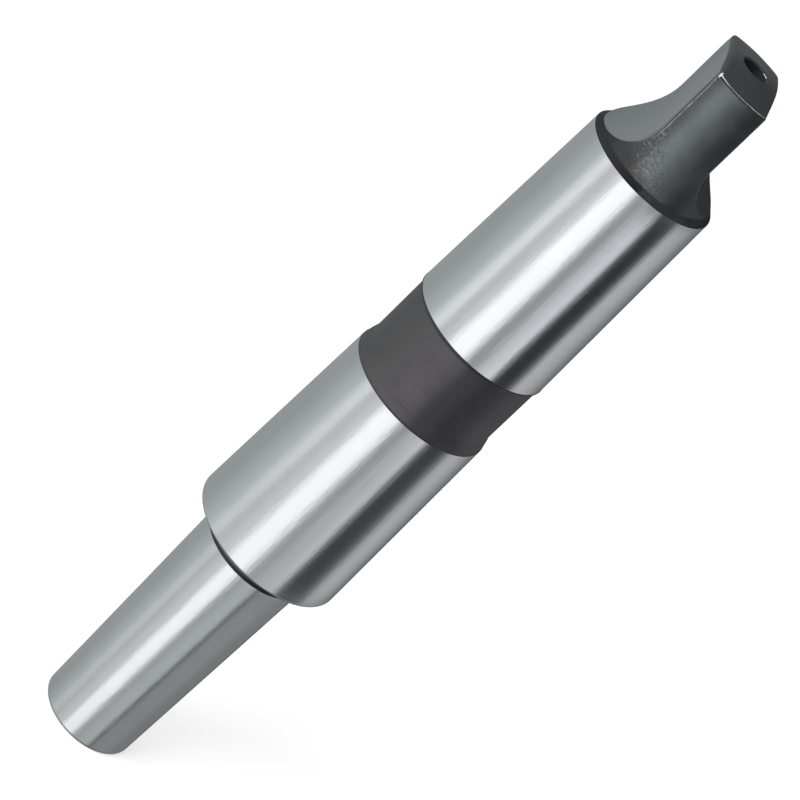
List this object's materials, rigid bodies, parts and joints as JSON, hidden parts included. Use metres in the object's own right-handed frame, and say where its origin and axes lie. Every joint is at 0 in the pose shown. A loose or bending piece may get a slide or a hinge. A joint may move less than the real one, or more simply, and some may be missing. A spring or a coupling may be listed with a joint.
{
  "type": "drill chuck arbor",
  "caption": "One-piece steel arbor: a ground Morse taper shank with a flatted tang and a black relief band, and a slim ground taper that carries a drill chuck.",
  "frame": {"origin": "centre of the end face of the chuck taper, on which the arbor stands", "axes": "+Z along the arbor's axis towards the tang, +X square to the tang's two flats"},
  "size_m": [0.0241, 0.024, 0.1398],
  "materials": {
    "ground_steel": "bright ground tapers with fine lines round the axis; the relief band and the tang are left black from hardening"
  },
  "bodies": {
    "root": {"arbor": "ground_steel"}
  },
  "joints": []
}
